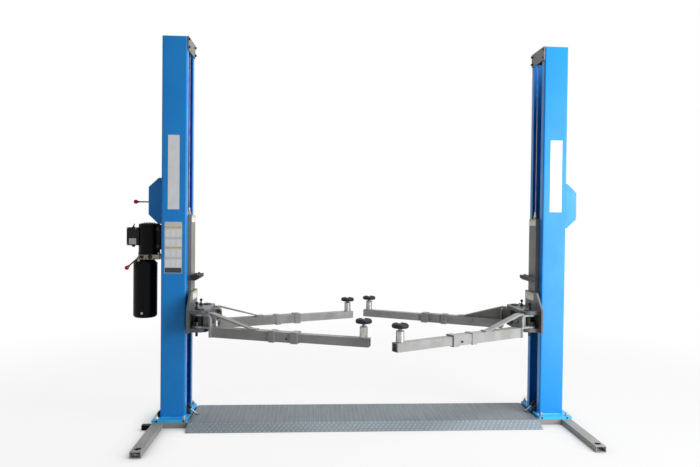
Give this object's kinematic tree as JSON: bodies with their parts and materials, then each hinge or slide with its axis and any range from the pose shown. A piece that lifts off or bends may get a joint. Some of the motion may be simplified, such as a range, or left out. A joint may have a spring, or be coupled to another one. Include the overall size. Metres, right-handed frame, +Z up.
{
  "type": "two post car lift",
  "caption": "Floor plate vehicle lift: blue folded columns with carriages, swinging telescopic arms with screw pads, hydraulic power unit and tread plate base.",
  "frame": {"origin": "on the ground, midway between the middles of the two columns", "axes": "+X across the bay to the right column, +Y along the bay away from the front, +Z up"},
  "size_m": [3.3808, 1.5857, 2.828],
  "materials": {
    "blue_gloss_paint": "gloss powder coat over folded sheet",
    "grey_leg_paint": "satin grey paint on square tube",
    "checker_plate": "satin paint over raised tread bars",
    "grey_arm_paint": "satin grey paint",
    "black_cast_iron": "painted black casting",
    "steel_wire_rope": "bright stranded steel",
    "black_enamel": "gloss black enamel",
    "black_plastic": "moulded, fine matt grain",
    "cast_aluminium": "as cast with machined faces",
    "blackened_steel": "oil blackened steel",
    "nylon": "machined white nylon",
    "black_rubber": "moulded rubber"
  },
  "bodies": {
    "root": {"left_column": "blue_gloss_paint", "right_column": "blue_gloss_paint", "base_plates": "blue_gloss_paint", "base_legs": "grey_leg_paint", "base_edge_tubes": "grey_leg_paint", "floor_plate": "checker_plate", "top_brackets": "grey_arm_paint", "cable_sheaves": "black_cast_iron", "equalising_cables": "steel_wire_rope", "lift_cylinders": "black_enamel", "left_lock_cover": "blue_gloss_paint", "right_lock_cover": "blue_gloss_paint", "pump_bracket": "black_enamel", "oil_tank": "black_enamel", "pump_block": "cast_aluminium", "pump_motor": "black_enamel", "motor_switch_box": "black_plastic"},
    "lock_lever": {"lock_lever": "blackened_steel"},
    "lowering_lever": {"lowering_lever": "blackened_steel"},
    "left_carriage": {"left_carriage": "grey_arm_paint", "left_slide_blocks": "nylon", "left_arm_yoke": "grey_arm_paint", "left_arm_pins": "blackened_steel", "left_door_guard": "black_rubber"},
    "right_carriage": {"right_carriage": "grey_arm_paint", "right_slide_blocks": "nylon", "right_arm_yoke": "grey_arm_paint", "right_arm_pins": "blackened_steel", "right_door_guard": "black_rubber"},
    "front_left_lock_rod": {"front_left_lock_rod": "blackened_steel"},
    "front_left_arm": {"front_left_arm": "grey_arm_paint"},
    "front_left_extension": {"front_left_extension": "grey_arm_paint"},
    "front_left_pad": {"front_left_pad": "black_rubber"},
    "back_left_lock_rod": {"back_left_lock_rod": "blackened_steel"},
    "back_left_arm": {"back_left_arm": "grey_arm_paint"},
    "back_left_extension": {"back_left_extension": "grey_arm_paint"},
    "back_left_pad": {"back_left_pad": "black_rubber"},
    "front_right_lock_rod": {"front_right_lock_rod": "blackened_steel"},
    "front_right_arm": {"front_right_arm": "grey_arm_paint"},
    "front_right_extension": {"front_right_extension": "grey_arm_paint"},
    "front_right_pad": {"front_right_pad": "black_rubber"},
    "back_right_lock_rod": {"back_right_lock_rod": "blackened_steel"},
    "back_right_arm": {"back_right_arm": "grey_arm_paint"},
    "back_right_extension": {"back_right_extension": "grey_arm_paint"},
    "back_right_pad": {"back_right_pad": "black_rubber"}
  },
  "joints": [
    {"name": "left_lift", "type": "slide", "parent": "root", "child": "left_carriage", "axis": [0, 0, 1], "range_m": [-0.56, 1.02]},
    {"name": "right_lift", "type": "slide", "parent": "root", "child": "right_carriage", "axis": [0, 0, 1], "range_m": [-0.56, 1.02]},
    {"name": "front_left_lock_pull", "type": "slide", "parent": "left_carriage", "child": "front_left_lock_rod", "axis": [0, 0, 1], "range_m": [0, 0.015]},
    {"name": "front_left_swing", "type": "hinge", "parent": "left_carriage", "child": "front_left_arm", "pos_m": [-1.215, -0.15, 0.76], "axis": [0, 0, 1], "range_deg": [-70, 16]},
    {"name": "front_left_reach", "type": "slide", "parent": "front_left_arm", "child": "front_left_extension", "axis": [-0.9397, 0.342, 0], "range_m": [-0.045, 0.395]},
    {"name": "front_left_pad_screw", "type": "slide", "parent": "front_left_extension", "child": "front_left_pad", "axis": [0, 0, 1], "range_m": [-0.015, 0.04]},
    {"name": "back_left_lock_pull", "type": "slide", "parent": "left_carriage", "child": "back_left_lock_rod", "axis": [0, 0, 1], "range_m": [0, 0.015]},
    {"name": "back_left_swing", "type": "hinge", "parent": "left_carriage", "child": "back_left_arm", "pos_m": [-1.215, 0.15, 0.76], "axis": [0, 0, -1], "range_deg": [-66, 20]},
    {"name": "back_left_reach", "type": "slide", "parent": "back_left_arm", "child": "back_left_extension", "axis": [-0.9135, -0.4067, 0], "range_m": [-0.054, 0.386]},
    {"name": "back_left_pad_screw", "type": "slide", "parent": "back_left_extension", "child": "back_left_pad", "axis": [0, 0, 1], "range_m": [-0.005, 0.04]},
    {"name": "front_right_lock_pull", "type": "slide", "parent": "right_carriage", "child": "front_right_lock_rod", "axis": [0, 0, 1], "range_m": [0, 0.015]},
    {"name": "front_right_swing", "type": "hinge", "parent": "right_carriage", "child": "front_right_arm", "pos_m": [1.215, -0.15, 0.76], "axis": [0, 0, -1], "range_deg": [-61, 25]},
    {"name": "front_right_reach", "type": "slide", "parent": "front_right_arm", "child": "front_right_extension", "axis": [0.8746, 0.4848, 0], "range_m": [-0.08, 0.36]},
    {"name": "front_right_pad_screw", "type": "slide", "parent": "front_right_extension", "child": "front_right_pad", "axis": [0, 0, 1], "range_m": [-0.011, 0.04]},
    {"name": "back_right_lock_pull", "type": "slide", "parent": "right_carriage", "child": "back_right_lock_rod", "axis": [0, 0, 1], "range_m": [0, 0.015]},
    {"name": "back_right_swing", "type": "hinge", "parent": "right_carriage", "child": "back_right_arm", "pos_m": [1.215, 0.15, 0.76], "axis": [0, 0, 1], "range_deg": [-62, 24]},
    {"name": "back_right_reach", "type": "slide", "parent": "back_right_arm", "child": "back_right_extension", "axis": [0.8829, -0.4695, 0], "range_m": [-0.015, 0.425]},
    {"name": "back_right_pad_screw", "type": "slide", "parent": "back_right_extension", "child": "back_right_pad", "axis": [0, 0, 1], "range_m": [-0.007, 0.04]},
    {"name": "lock_release", "type": "hinge", "parent": "root", "child": "lock_lever", "pos_m": [-1.56, 0, 1.628], "axis": [0, -1, 0], "range_deg": [0, 15], "stiffness_Nm_per_rad": 4, "springref_deg": -14.32},
    {"name": "lowering_valve", "type": "hinge", "parent": "root", "child": "lowering_lever", "pos_m": [-1.671, -0.078, 1.224], "axis": [0, -1, 0], "range_deg": [0, 12], "stiffness_Nm_per_rad": 3, "springref_deg": -14.32}
  ],
  "couplings": [
    {"joint": "right_lift", "follows": "left_lift", "ratio": 1}
  ]
}
